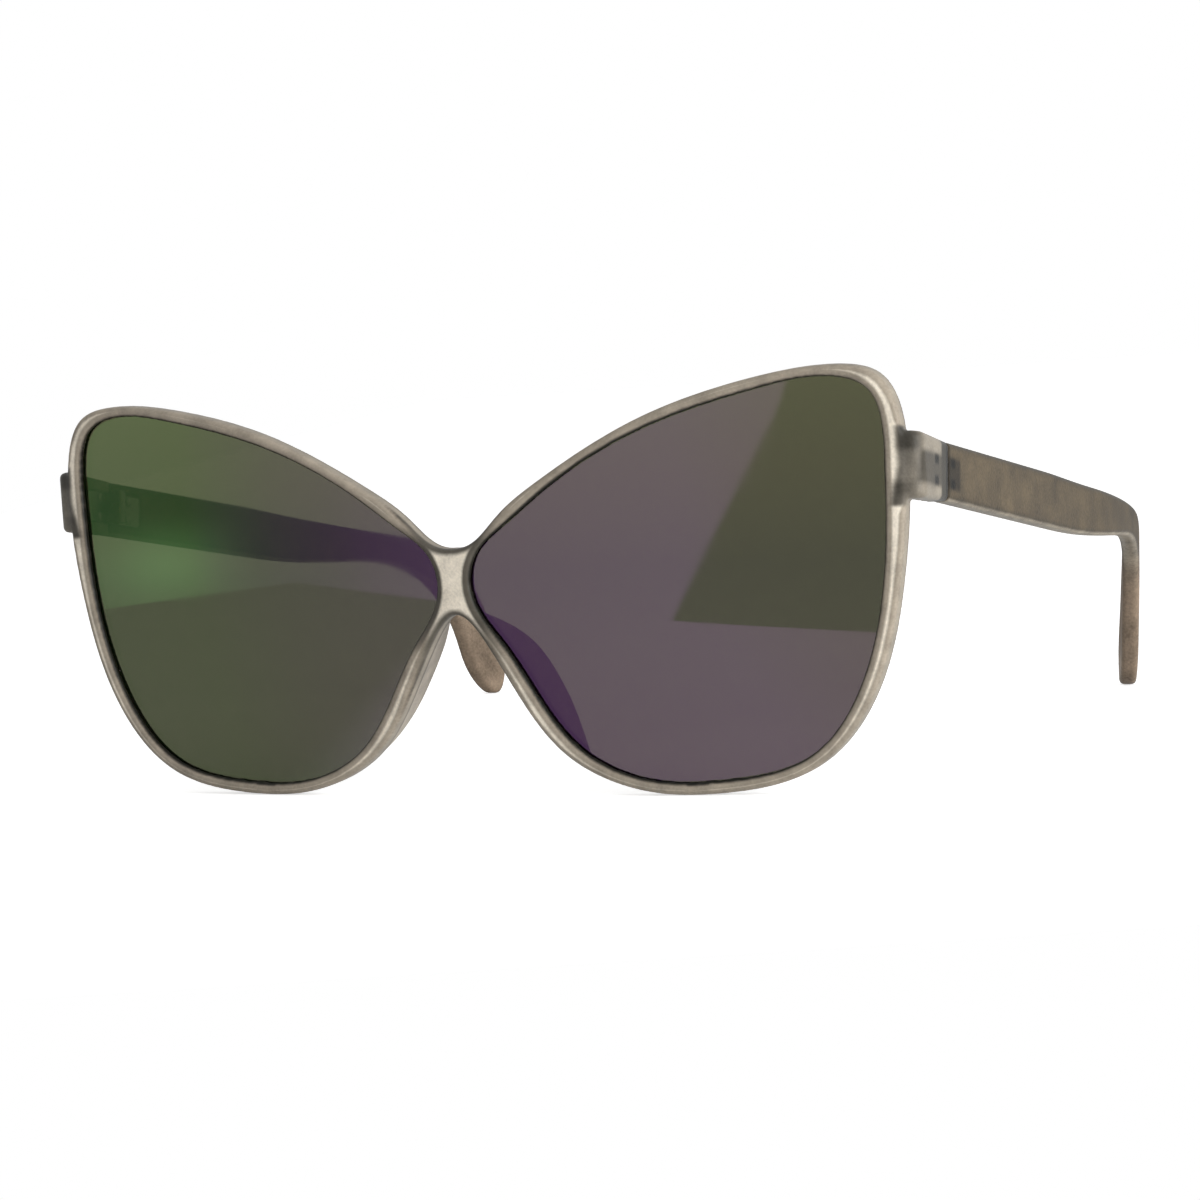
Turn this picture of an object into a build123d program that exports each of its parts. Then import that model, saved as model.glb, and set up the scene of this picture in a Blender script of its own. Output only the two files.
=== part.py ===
from build123d import *
import math
import os

# Butterfly sunglasses: a moulded front with two tinted lenses, and two temples on pinned hinges.
# X runs across the face towards the wearer's left, Y runs back along the temples and Z up.
# Everything is drawn on the wearer's left and mirrored, in millimetres and degrees.

# Lens openings, rims and bridge, measured in the plane of the front
opening_width = 67.1
opening_height = 59.9
rim_width = 2.2
bridge_width = 6.2
bridge_height = 10.4
bridge_rise = 28.7
front_thickness = 3.2
front_curve_radius = 560.0
front_tilt = 11.4
front_lead = 0.5

# Lenses and the groove that holds them
lens_thickness = 1.5
lens_recess = 1.2
groove_depth = 0.8
lens_clearance = 0.05

# Nose pads, moulded on the back of the rims
pad_reach = 6.7
pad_flare = 10.0
pad_edge_radius = 0.7
pad_bottom = 5.0
pad_height = 23.5

# End pieces, which carry the hinges
endpiece_reach = 2.6
endpiece_height = 10.0
endpiece_corner_radius = 2.4
endpiece_edge_radius = 0.9
hinge_height = 48.75
hinge_setback = 7.7
joint_gap = 0.4
endpiece_step = 0.35
web_length = 2.2

# Temples
temple_thickness = 3.1
temple_height = 9.0
temple_reach = 132.6
temple_splay = 1.9
temple_straight = 72.0
temple_bend_radius = 145.0
temple_drop = 26.8
temple_edge_radius = 0.9

# Hinges: two leaves, a screw and two rivets in each leaf
leaf_height = 5.0
front_leaf_length = 6.5
temple_leaf_length = 9.4
leaf_thickness = 0.8
pivot_inset = 1.65
knuckle_radius = 1.3
knuckle_share = 0.36
knuckle_clearance = 0.06
arm_thickness = 0.9
screw_radius = 0.6
screw_clearance = 0.04
screw_head_radius = 1.05
screw_head_height = 0.5
screw_slot_width = 0.3
screw_slot_depth = 0.25
screw_tail = 0.3
rivet_radius = 0.45
rivet_head_radius = 0.8
rivet_head_height = 0.3
rivet_length = 2.1
rivet_spacing = 3.1
rivet_clearance = 0.03
leaf_clearance = 0.05
leaf_corner_radius = 0.6
front_rivet_share = 0.42
temple_rivet_share = 0.62

# Cuts run past the solids by this much
overrun = 12.0
# Times that the standing angle is corrected
standing_rounds = 5
# Spans that a curved outline is cut into
outline_spans = 8

# Rounding of the rim's edges, as a share of its width
rim_rounding_share = 0.28
# Widest rim, at the temple side
widest_rim_share = 1.42
# Lens opening: across from the nose, up from the lowest point, and rim width there
opening_shares = [
    (0.000, 0.553, 0.00),
    (0.016, 0.597, 0.00),
    (0.095, 0.673, 0.88),
    (0.188, 0.748, 0.85),
    (0.455, 0.902, 0.82),
    (0.729, 0.983, 0.83),
    (0.881, 1.000, 0.82),
    (0.963, 0.971, 1.18),
    (1.000, 0.793, widest_rim_share),
    (0.984, 0.507, 1.22),
    (0.921, 0.248, 1.14),
    (0.793, 0.063, 0.94),
    (0.569, 0.000, 0.94),
    (0.419, 0.002, 0.90),
    (0.244, 0.086, 1.10),
    (0.069, 0.367, 1.16),
    (0.002, 0.485, 0.00),
]
# Place of the corner beside the bridge: share of the bridge width, and of the bridge height
notch_share = (0.38, 0.025)
# Height of the foremost point of the front, as a share of the opening height
vertex_share = 0.38
# Temple centre line: along the reach, down the drop, and height there
temple_shares = [
    (0.340, 0.000, 1.00),
    (0.460, 0.003, 0.96),
    (0.560, -0.008, 0.87),
    (0.665, -0.027, 0.72),
    (0.750, -0.030, 0.65),
    (0.825, 0.020, 0.76),
    (0.875, 0.125, 0.86),
    (0.910, 0.290, 0.90),
    (0.942, 0.560, 0.90),
    (0.965, 0.810, 0.84),
]
temple_end_share = (0.980, 1.000)
# Slope of the centre line where it reaches the tip
temple_end_slope = (0.35, -1)
# Part of the rim's thickness that the nose pad is rooted in
pad_sunk_share = 0.4
# Nose pad seen from the side: how far back, and where between its lower and upper ends
pad_shares = [
    (0.00, 0.00),
    (0.42, 0.10),
    (0.88, 0.33),
    (1.00, 0.55),
    (0.88, 0.80),
    (0.46, 0.95),
    (0.00, 1.03),
]

opening_inner_x = bridge_width / 2
rim_outer_x = opening_inner_x + opening_width + rim_width * widest_rim_share
endpiece_outer_x = rim_outer_x + endpiece_reach
hinge_inner_x = endpiece_outer_x - temple_thickness
pivot_x = hinge_inner_x - pivot_inset
vertex_height = rim_width + opening_height * vertex_share
front_height = opening_height + 2 * rim_width
rim_radius = rim_width * rim_rounding_share


def plane_point(x, z):
    return Vector(x, 0, z)


def opening_points():
    points = []
    for across, up, _ in opening_shares:
        x = opening_inner_x + opening_width * across
        z = rim_width + opening_height * up
        points.append(plane_point(x, z))
    return points


def sideways(curve, point):
    tangent = curve.tangent_at(point)
    return Vector(-tangent.Z, 0, tangent.X)


def grown_points(distances):
    points = opening_points()
    curve = Spline(*points, periodic=True)
    return [p + sideways(curve, p) * d for p, d in zip(points, distances)]


def spans(curve):
    cuts = [i / outline_spans for i in range(outline_spans + 1)]
    return [curve.trim(a, b) for a, b in zip(cuts, cuts[1:])]


def closed_face(points):
    return Face(Wire(spans(Spline(*points, periodic=True))))


def opening_face(growth):
    return closed_face(grown_points([growth] * len(opening_shares)))


def rim_edge_points():
    widths = [rim_width * share for _, _, share in opening_shares]
    return [p for p, w in zip(grown_points(widths), widths) if w > 0]


def outer_points():
    across, up = notch_share
    notch = plane_point(bridge_width * across, bridge_rise + bridge_height * (1 + up))
    right = [notch, *rim_edge_points()]
    left = [Vector(-p.X, 0, p.Z) for p in reversed(right)]
    top = plane_point(0, bridge_rise + bridge_height)
    foot = plane_point(0, bridge_rise)
    return [top, *right, foot, *left]


def block(low, high):
    size = [b - a for a, b in zip(low, high)]
    middle = [(a + b) / 2 for a, b in zip(low, high)]
    return Pos(*middle) * Box(*size)


def left_half():
    low = (0, -overrun, -overrun)
    high = (rim_outer_x + overrun, overrun + front_thickness, front_height + overrun)
    return block(low, high)


def through(face):
    start = face.moved(Location((0, -overrun, 0)))
    return extrude(start, amount=2 * overrun + front_thickness, dir=(0, 1, 0))


def ball(depth):
    setback = front_curve_radius - front_lead
    return Pos(0, setback, vertex_height) * Sphere(front_curve_radius - depth)


def layer(face, front_depth, back_depth):
    return (through(face) & ball(front_depth)) - ball(back_depth)


def rim_edges(solid, depth):
    radius = front_curve_radius - depth
    faces = solid.faces().filter_by(GeomType.SPHERE)
    chosen = min(faces, key=lambda f: abs(f.radius - radius))
    return [e for e in chosen.edges() if e.geom_type != GeomType.CIRCLE]


def half_rim():
    solid = layer(closed_face(outer_points()), 0, front_thickness) & left_half()
    solid = solid - through(opening_face(0))
    solid = fillet(rim_edges(solid, 0), rim_radius)
    return fillet(rim_edges(solid, front_thickness), rim_radius)


def lens_groove():
    front = lens_recess - lens_clearance
    back = lens_recess + lens_thickness + lens_clearance
    return layer(opening_face(groove_depth + lens_clearance), front, back)


def lens():
    return layer(opening_face(groove_depth), lens_recess, lens_recess + lens_thickness)


def nose_pad():
    section = closed_face(outer_points()) - opening_face(0)
    back = front_thickness - front_lead
    root = back - front_thickness * pad_sunk_share
    shear = Vector(math.tan(math.radians(pad_flare)), 1, 0)
    strip = extrude(section.moved(Location((0, root, 0))), amount=2 * pad_reach, dir=shear)
    depth = pad_reach + back - root
    profile = []
    for out, up in pad_shares:
        profile.append((0, root + depth * out, pad_bottom + pad_height * up))
    side = Face(Wire([Spline(*profile), Line(profile[-1], profile[0])]))
    hump = extrude(side, amount=rim_outer_x / 2, dir=(1, 0, 0))
    solid = strip & hump
    crest = solid.faces().sort_by(SortBy.AREA)[-3:].sort_by(Axis.Y)[-1]
    return fillet(crest.edges().sort_by(SortBy.LENGTH)[-2:], pad_edge_radius)


def tilted(shape):
    return Rot(front_tilt, 0, 0) * shape


def front_y(x, z, depth):
    tilt = math.radians(front_tilt)
    setback = front_curve_radius - front_lead
    centre_y = setback * math.cos(tilt) - vertex_height * math.sin(tilt)
    centre_z = setback * math.sin(tilt) + vertex_height * math.cos(tilt)
    radius = front_curve_radius - depth
    return centre_y - math.sqrt(radius**2 - x**2 - (z - centre_z) ** 2)


def flat_prism(points, direction, amount):
    return extrude(make_face(Polyline(*points, close=True)), amount=amount, dir=direction)


def endpiece_block():
    root_x = rim_outer_x - rim_width
    end_y = hinge_setback - joint_gap / 2
    rim_back_y = front_y(rim_outer_x, hinge_height, front_thickness)
    start_y = front_y(rim_outer_x, hinge_height, 0) - overrun
    floor = hinge_height - overrun
    plan = [
        (root_x, start_y, floor),
        (endpiece_outer_x, start_y, floor),
        (endpiece_outer_x, end_y, floor),
        (hinge_inner_x, end_y, floor),
        (hinge_inner_x, rim_back_y + web_length, floor),
        (root_x, rim_back_y - rim_radius, floor),
    ]
    taper = (endpiece_height - temple_height) / 2 / (end_y - start_y - overrun)
    start_half = endpiece_height / 2 + taper * overrun
    side = [
        (root_x, start_y, hinge_height + start_half),
        (root_x, end_y, hinge_height + temple_height / 2),
        (root_x, end_y, hinge_height - temple_height / 2),
        (root_x, start_y, hinge_height - start_half),
    ]
    solid = flat_prism(plan, (0, 0, 1), 2 * overrun)
    solid = solid & flat_prism(side, (1, 0, 0), overrun)
    return solid & tilted(ball(endpiece_step))


def endpiece():
    solid = endpiece_block()
    face = solid.faces().filter_by(GeomType.SPHERE)[0]
    corner = face.edges().sort_by(Axis.X)[-1]
    solid = fillet(corner, endpiece_corner_radius)
    face = solid.faces().filter_by(GeomType.SPHERE)[0]
    outer = solid.faces().sort_by(Axis.X)[-1]
    lines = [e for e in outer.edges() if abs(e.tangent_at(0.5).Z) < 0.5]
    ends = [e for e in face.edges() if abs(e.tangent_at(0.5).Z) < 0.5]
    return fillet(lines + ends, endpiece_edge_radius)


def hinge_leaf(levels, length, rivet_share):
    near = joint_gap / 2 + leaf_clearance
    outer = pivot_inset + leaf_thickness
    half = leaf_height / 2
    plate = block((pivot_inset, near, -half), (outer, length, half))
    corners = plate.edges().filter_by(Axis.X).sort_by(Axis.Y)[-2:]
    solid = fillet(corners, leaf_corner_radius)
    for low, high in levels:
        barrel = Pos(0, 0, (low + high) / 2) * Cylinder(knuckle_radius, high - low)
        arm = block((0, knuckle_radius - arm_thickness, low), (outer, knuckle_radius, high))
        solid = solid + barrel + arm
    solid = solid - Cylinder(screw_radius + screw_clearance, 2 * leaf_height)
    for z in (-rivet_spacing / 2, rivet_spacing / 2):
        hole = Rot(0, 90, 0) * Cylinder(rivet_radius + rivet_clearance, overrun)
        solid = solid - Pos(outer, length * rivet_share, z) * hole
    return solid


def outer_levels():
    inner = leaf_height * knuckle_share / 2 + knuckle_clearance
    return [(-leaf_height / 2, -inner), (inner, leaf_height / 2)]


def middle_levels():
    inner = leaf_height * knuckle_share / 2
    return [(-inner, inner)]


def rivets(length, rivet_share):
    bottom_up = (Align.CENTER, Align.CENTER, Align.MIN)
    top_down = (Align.CENTER, Align.CENTER, Align.MAX)
    pair = []
    for z in (-rivet_spacing / 2, rivet_spacing / 2):
        shank = Cylinder(rivet_radius, rivet_length, align=bottom_up)
        head = Cylinder(rivet_head_radius, rivet_head_height, align=top_down)
        rivet = Rot(0, 90, 0) * (shank + head)
        pair.append(Pos(pivot_inset, length * rivet_share, z) * rivet)
    return pair


def leaf_pocket(length, rivet_share):
    outer = pivot_inset + leaf_thickness + leaf_clearance
    half = leaf_height / 2 + leaf_clearance
    low = (pivot_inset - leaf_thickness, -leaf_thickness, -half)
    pocket = block(low, (outer, length + leaf_clearance, half))
    depth = rivet_length + rivet_clearance
    bottom_up = (Align.CENTER, Align.CENTER, Align.MIN)
    for z in (-rivet_spacing / 2, rivet_spacing / 2):
        hole = Rot(0, 90, 0) * Cylinder(rivet_radius + rivet_clearance, depth, align=bottom_up)
        pocket = pocket + Pos(pivot_inset, length * rivet_share, z) * hole
    return pocket


def hinge_screw():
    top = leaf_height / 2
    length = leaf_height + screw_tail
    bottom_up = (Align.CENTER, Align.CENTER, Align.MIN)
    shank = Pos(0, 0, top - length) * Cylinder(screw_radius, length, align=bottom_up)
    head = Pos(0, 0, top) * Cylinder(screw_head_radius, screw_head_height, align=bottom_up)
    slot_floor = top + screw_head_height - screw_slot_depth
    half = screw_slot_width / 2
    slot = block((-knuckle_radius, -half, slot_floor), (knuckle_radius, half, top + leaf_height))
    return shank + head - slot


def at_hinge(shape):
    return Pos(pivot_x, hinge_setback, hinge_height) * shape


def opened(shape):
    return at_hinge(Rot(0, 0, -temple_splay) * shape)


def turned_forward(shape):
    return shape.mirror(Plane.XZ)


def temple_plan():
    inner = pivot_inset
    outer = pivot_inset + temple_thickness
    start = joint_gap / 2
    floor = temple_height - temple_drop - overrun - temple_height
    bend = math.degrees(temple_reach / temple_bend_radius)
    centre_x = (inner + outer) / 2 - temple_bend_radius
    plane = Plane((centre_x, temple_straight, floor))
    outer_radius = temple_bend_radius + temple_thickness / 2
    inner_radius = temple_bend_radius - temple_thickness / 2
    outer_arc = plane * CenterArc((0, 0), outer_radius, 0, bend)
    inner_arc = plane * CenterArc((0, 0), inner_radius, 0, bend)
    outer_line = Line((outer, start, floor), (outer, temple_straight, floor))
    inner_line = Line((inner, start, floor), (inner, temple_straight, floor))
    butt = Line((inner, start, floor), (outer, start, floor))
    end = Line(inner_arc @ 1, outer_arc @ 1)
    face = Face(Wire([outer_line, outer_arc, end, inner_arc, inner_line, butt]))
    return extrude(face, amount=temple_drop + 2 * overrun + temple_height, dir=(0, 0, 1))


def temple_side():
    x = pivot_inset - overrun - temple_drop
    half = temple_height / 2
    places = [(temple_reach * along, -temple_drop * down) for along, down, _ in temple_shares]
    tip = (temple_reach * temple_end_share[0], -temple_drop * temple_end_share[1])
    points = [(x, y, z) for y, z in places]
    centre = Spline(*points, tangents=[(0, 1, 0), (0, *temple_end_slope)])
    upper = []
    lower = []
    for (y, z), (_, _, share) in zip(places, temple_shares):
        tangent = centre.tangent_at(Vector(x, y, z))
        across = Vector(0, -tangent.Z, tangent.Y) * (half * share)
        upper.append(Vector(x, y, z) + across)
        lower.append(Vector(x, y, z) - across)
    outline = [*upper, Vector(x, *tip), *reversed(lower)]
    curve = Spline(*outline, tangents=[(0, 1, 0), (0, -1, 0)])
    start = joint_gap / 2
    top = Line((x, start, half), upper[0])
    bottom = Line(lower[0], (x, start, -half))
    butt = Line((x, start, -half), (x, start, half))
    face = Face(Wire([top, *spans(curve), bottom, butt]))
    return extrude(face, amount=2 * (overrun + temple_drop), dir=(1, 0, 0))


def temple():
    solid = temple_plan() & temple_side()
    straight = solid.edges().filter_by(GeomType.LINE)
    crossways = straight.filter_by(Axis.X) + straight.filter_by(Axis.Z)
    solid = fillet([e for e in solid.edges() if e not in crossways], temple_edge_radius)
    return solid - leaf_pocket(temple_leaf_length, temple_rivet_share)


def left_front():
    solid = half_rim() + nose_pad()
    solid = tilted(solid - lens_groove()) + endpiece()
    return solid - at_hinge(turned_forward(leaf_pocket(front_leaf_length, front_rivet_share)))


def front_hinge_leaf():
    leaf = hinge_leaf(outer_levels(), front_leaf_length, front_rivet_share)
    return at_hinge(turned_forward(leaf))


def temple_hinge_leaf():
    return opened(hinge_leaf(middle_levels(), temple_leaf_length, temple_rivet_share))


def left_pieces():
    front_rivets = rivets(front_leaf_length, front_rivet_share)
    temple_rivets = rivets(temple_leaf_length, temple_rivet_share)
    return {
        "lens_left": [tilted(lens())],
        "temple_left": [opened(temple())],
        "front_hinge_leaf_left": [front_hinge_leaf()],
        "temple_hinge_leaf_left": [temple_hinge_leaf()],
        "hinge_screw_left": [at_hinge(hinge_screw())],
        "front_hinge_rivets_left": [at_hinge(turned_forward(r)) for r in front_rivets],
        "temple_hinge_rivets_left": [opened(r) for r in temple_rivets],
    }


def stood(shape, angle):
    return Rot(-angle, 0, 0) * shape


def standing_angle(front, temple_piece):
    angle = 0
    for _ in range(standing_rounds):
        front_low = stood(front, angle).bounding_box().min.Z
        tip_low = stood(temple_piece, angle).bounding_box().min.Z
        angle += math.degrees(math.atan((tip_low - front_low) / temple_reach))
    return angle


half = left_front()
pieces = {"front_frame": [half + half.mirror(Plane.YZ)]}
for name, solids in left_pieces().items():
    pieces[name] = solids
    pieces[name.replace("left", "right")] = [s.mirror(Plane.YZ) for s in solids]

angle = standing_angle(pieces["front_frame"][0], pieces["temple_left"][0])
everything = Compound([stood(s, angle) for solids in pieces.values() for s in solids])
box = everything.bounding_box()
place = Pos(0, -box.center().Y, -box.min.Z)

os.makedirs("parts", exist_ok=True)
for name, solids in pieces.items():
    placed = [place * stood(s, angle) for s in solids]
    export_step(placed[0] if len(placed) == 1 else Compound(placed), f"parts/{name}.step")

pivot = place * stood(Pos(pivot_x, hinge_setback, hinge_height), angle)
print("standing angle", round(angle, 4), "size", box.size)
print("left hinge pivot", pivot.position)
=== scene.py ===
# %% [markdown]
# # Butterfly sunglasses
# The sunglasses stand on a pale table, rims and temple tips down, and the camera looks at them
# from the wearer's left. The solids come from the packed model: they give every piece its place.
# Each cell below dresses one kind of piece, and says why it is made that way. Sizes and places
# are in metres and angles in radians. The distances that the skins carry are in millimetres.

# %% Load the frame
import math

import bmesh
import bpy
import numpy as np
from mathutils import Matrix, Vector, kdtree


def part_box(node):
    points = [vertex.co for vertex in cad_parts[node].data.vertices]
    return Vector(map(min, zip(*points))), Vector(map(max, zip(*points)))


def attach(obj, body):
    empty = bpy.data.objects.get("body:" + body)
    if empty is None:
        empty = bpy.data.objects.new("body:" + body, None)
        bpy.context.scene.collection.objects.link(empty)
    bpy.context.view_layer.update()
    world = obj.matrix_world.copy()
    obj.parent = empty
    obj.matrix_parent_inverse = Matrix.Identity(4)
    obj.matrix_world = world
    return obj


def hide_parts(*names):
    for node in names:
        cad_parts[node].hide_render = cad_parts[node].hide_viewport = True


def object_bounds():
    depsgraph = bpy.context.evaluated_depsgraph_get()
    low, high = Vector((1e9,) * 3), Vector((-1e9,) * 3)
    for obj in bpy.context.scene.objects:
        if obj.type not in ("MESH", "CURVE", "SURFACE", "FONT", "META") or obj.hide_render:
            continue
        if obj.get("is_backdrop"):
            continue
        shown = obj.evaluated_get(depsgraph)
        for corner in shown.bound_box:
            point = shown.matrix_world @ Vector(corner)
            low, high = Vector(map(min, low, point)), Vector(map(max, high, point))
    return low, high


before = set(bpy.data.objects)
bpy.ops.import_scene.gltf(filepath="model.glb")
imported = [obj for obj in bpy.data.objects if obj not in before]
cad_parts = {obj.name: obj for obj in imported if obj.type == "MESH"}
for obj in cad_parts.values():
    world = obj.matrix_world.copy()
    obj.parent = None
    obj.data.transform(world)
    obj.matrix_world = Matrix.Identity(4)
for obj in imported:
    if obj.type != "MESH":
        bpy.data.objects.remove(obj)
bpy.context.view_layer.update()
bpy.context.scene.view_settings.view_transform = "Standard"
mm_in_metre = 1000

# %% [markdown]
# ## Camera
# A long lens from about half a metre, a little above the hinges and 25 degrees to the wearer's
# left. The place, heading and roll were found by fitting the rims and temples to the picture.

# %% Camera
camera_place = Vector((0.22808, -0.50334, 0.06699))
camera_heading = math.radians(25.19)
camera_drop = math.radians(4.377)
camera_roll = math.radians(-3.605)

camera_data = bpy.data.cameras.new("camera")
camera_data.sensor_width = 36
camera_data.lens = 94.5
camera_data.clip_start = 0.01
camera = bpy.data.objects.new("camera", camera_data)
bpy.context.scene.collection.objects.link(camera)
bpy.context.scene.camera = camera
heading = Matrix.Rotation(camera_heading, 4, "Z")
tilt = Matrix.Rotation(math.radians(90) - camera_drop, 4, "X")
roll = Matrix.Rotation(camera_roll, 4, "Z")
camera.matrix_world = Matrix.Translation(camera_place) @ (heading @ tilt) @ roll
print("camera at", camera.location)

# %% [markdown]
# ## Words for wiring nodes
# Every finish and light below is a small tree of nodes. A few short words, collected here, add
# a node, join it to others and hand back its result, so that a tree reads like a sum.


# %% Words for wiring nodes
class Wiring:
    """Short words for adding nodes to one tree."""

    def __init__(self, tree):
        self.tree = tree

    def node(self, kind, **settings):
        made = self.tree.nodes.new(kind)
        for name, value in settings.items():
            setattr(made, name, value)
        return made

    def join(self, source, target):
        self.tree.links.new(source, target)

    def put(self, value, socket):
        """Set a socket to a number or a colour, or join another socket to it."""
        if isinstance(value, (int, float)):
            socket.default_value = value
        elif isinstance(value, tuple):
            socket.default_value = (*value, 1)
        else:
            self.join(value, socket)

    def read(self, name):
        """A value that the points of the mesh carry."""
        return self.node("ShaderNodeAttribute", attribute_name=name).outputs["Fac"]

    def here(self, kind="Object"):
        """The place on the object, in metres, or another kind of coordinate."""
        return self.node("ShaderNodeTexCoord").outputs[kind]

    def parts(self, vector):
        made = self.node("ShaderNodeSeparateXYZ")
        self.join(vector, made.inputs[0])
        return made.outputs

    def maths(self, operation, first, second=0.0):
        made = self.node("ShaderNodeMath", operation=operation)
        self.put(first, made.inputs[0])
        self.put(second, made.inputs[1])
        return made.outputs[0]

    def plus(self, first, second):
        return self.maths("ADD", first, second)

    def minus(self, first, second):
        return self.maths("SUBTRACT", first, second)

    def times(self, first, *others):
        for other in others:
            first = self.maths("MULTIPLY", first, other)
        return first

    def rise(self, value, start, end, low=0.0, high=1.0):
        """Go smoothly from low to high while the value goes from start to end."""
        made = self.node("ShaderNodeMapRange", interpolation_type="SMOOTHSTEP")
        for socket, part in zip(made.inputs, (value, start, end, low, high)):
            self.put(part, socket)
        return made.outputs[0]

    def fall(self, value, start, end):
        return self.rise(value, start, end, 1.0, 0.0)

    def ramp(self, value, stops):
        made = self.node("ShaderNodeValToRGB")
        points = made.color_ramp.elements
        while len(points) < len(stops):
            points.new(0.5)
        for point, (place, colour) in zip(points, stops):
            point.position = place
            point.color = (*colour, 1)
        self.join(value, made.inputs[0])
        return made.outputs["Color"]

    def mix(self, share, first, second):
        made = self.node("ShaderNodeMix", data_type="RGBA")
        self.put(share, made.inputs[0])
        self.put(first, made.inputs[6])
        self.put(second, made.inputs[7])
        return made.outputs[2]

    def choose(self, share, first, second):
        made = self.node("ShaderNodeMixShader")
        self.put(share, made.inputs[0])
        self.join(first, made.inputs[1])
        self.join(second, made.inputs[2])
        return made.outputs[0]

    def choose_by_ray(self, for_the_rest, for_mirrors, for_camera):
        """A ray that went through glass counts as a mirror's ray too, so the camera comes last."""
        path = self.node("ShaderNodeLightPath").outputs
        seen = self.maths("MAXIMUM", path["Is Camera Ray"], path["Is Transmission Ray"])
        shown = self.choose(path["Is Glossy Ray"], for_the_rest, for_mirrors)
        return self.choose(seen, shown, for_camera)

    def glow(self, strength):
        made = self.node("ShaderNodeEmission")
        self.put(strength, made.inputs["Strength"])
        return made.outputs[0]


print("words", [word for word in vars(Wiring) if not word.startswith("_")])

# %% [markdown]
# ## Table and light
# The picture has a plain white ground. The lenses tell more about the studio: they mirror the
# front edge of a white table, a dim screen to the right of the camera and white walls. So the
# table here ends where that edge is. It is laid out along the camera's heading.

# %% Table
across_view = Vector((math.cos(camera_heading), math.sin(camera_heading), 0))
along_view = Vector((-math.sin(camera_heading), math.cos(camera_heading), 0))
table_front, table_back = -0.205, 6.0
table_left, table_right = -0.345, 6.0

corners = [across_view * u + along_view * v
           for u, v in ((table_left, table_front), (table_right, table_front),
                        (table_right, table_back), (table_left, table_back))]
table_mesh = bpy.data.meshes.new("table")
table_mesh.from_pydata(corners, [], [(0, 1, 2, 3)])
table = bpy.data.objects.new("table", table_mesh)
bpy.context.scene.collection.objects.link(table)
table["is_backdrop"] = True
print("table front edge", table_front, "m from the middle")

# %% [markdown]
# The camera and the glass see the table white, and it keeps the soft shadow that the sunglasses
# throw. In a mirror it gets dimmer towards the far left, which was read back from the lenses: this
# is painted shade on the table, seen only in mirrors.

# %% White of the table
table_paper = (0.85, 0.85, 0.85)
table_glow = 0.60
dim_from, dim_to = -0.022, 0.008
dimmest = 0.28

white_table = bpy.data.materials.new("white_table")
white_table.use_nodes = True
white_table.node_tree.nodes.clear()
work = Wiring(white_table.node_tree)
paper = work.node("ShaderNodeBsdfPrincipled")
work.put(table_paper, paper.inputs["Base Color"])
paper.inputs["Roughness"].default_value = 0.8
lit_paper = work.node("ShaderNodeAddShader")
work.join(paper.outputs[0], lit_paper.inputs[0])
work.join(work.glow(table_glow), lit_paper.inputs[1])
where = work.parts(work.here())
dim_way = across_view - along_view
along_table = work.plus(work.times(where["X"], dim_way.x), work.times(where["Y"], dim_way.y))
# painted shade: the table, as mirrors see it, dims towards the far left
mirrored = work.glow(work.rise(along_table, dim_from, dim_to, dimmest, 1.0))
shown = work.choose_by_ray(paper.outputs[0], mirrored, lit_paper.outputs[0])
work.join(shown, work.node("ShaderNodeOutputMaterial").inputs["Surface"])
table_mesh.materials.append(white_table)
print("table finish", len(work.tree.nodes), "nodes")

# %% [markdown]
# The world is even and white to the camera and through glass. A mirror sees the same white
# walls, a dim screen to the right, and dimmer walls far to the left with one window in them.
# Two angles say where a ray goes: sideways, from straight before the lenses to the right, and
# upward.

# %% World
screen_start, screen_lean, screen_blur = -0.192, 0.6415, 0.004
screen_end = (0.55, 0.70)
screen_dimming = 0.88
wall_turn = (-0.62, -0.48)
far_wall = 0.62
window_sideways, window_half_width = -0.77, 0.10
window_upward, window_half_height = -0.085, 0.045
window_glow = 0.8
light_on_things = 0.50

world = bpy.data.worlds.new("studio")
bpy.context.scene.world = world
world.use_nodes = True
world.node_tree.nodes.clear()
work = Wiring(world.node_tree)
aim = work.parts(work.here("Generated"))
sideways = work.maths("ARCTAN2", aim["X"], work.times(aim["Y"], -1.0))
upward = work.maths("ARCSINE", aim["Z"])

screen_edge = work.plus(work.times(upward, screen_lean), screen_start)
in_screen = work.rise(work.minus(sideways, screen_edge), -screen_blur, screen_blur)
in_screen = work.times(in_screen, work.fall(sideways, *screen_end))
beside_window = work.maths("ABSOLUTE", work.minus(sideways, window_sideways))
over_window = work.maths("ABSOLUTE", work.minus(upward, window_upward))
window = work.times(work.fall(beside_window, 0.0, window_half_width),
                    work.fall(over_window, 0.0, window_half_height))
walls = work.rise(sideways, *wall_turn, far_wall, 1.0)
bright_walls = work.plus(walls, work.times(window, window_glow))
mirrored = work.times(bright_walls, work.minus(1.0, work.times(in_screen, screen_dimming)))


def sky(strength):
    made = work.node("ShaderNodeBackground")
    made.inputs["Color"].default_value = (1, 1, 1, 1)
    work.put(strength, made.inputs["Strength"])
    return made.outputs[0]


shown = work.choose_by_ray(sky(light_on_things), sky(mirrored), sky(1.0))
work.join(shown, work.node("ShaderNodeOutputWorld").inputs["Surface"])
print("world", len(world.node_tree.nodes), "nodes")

# %% [markdown]
# Two soft boxes do the rest: a weak one overhead, and a strong one to the right, which makes the
# side of the near temple and end piece bright. Mirrors don't see them, because the lenses in the
# picture show no lamps.


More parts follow.
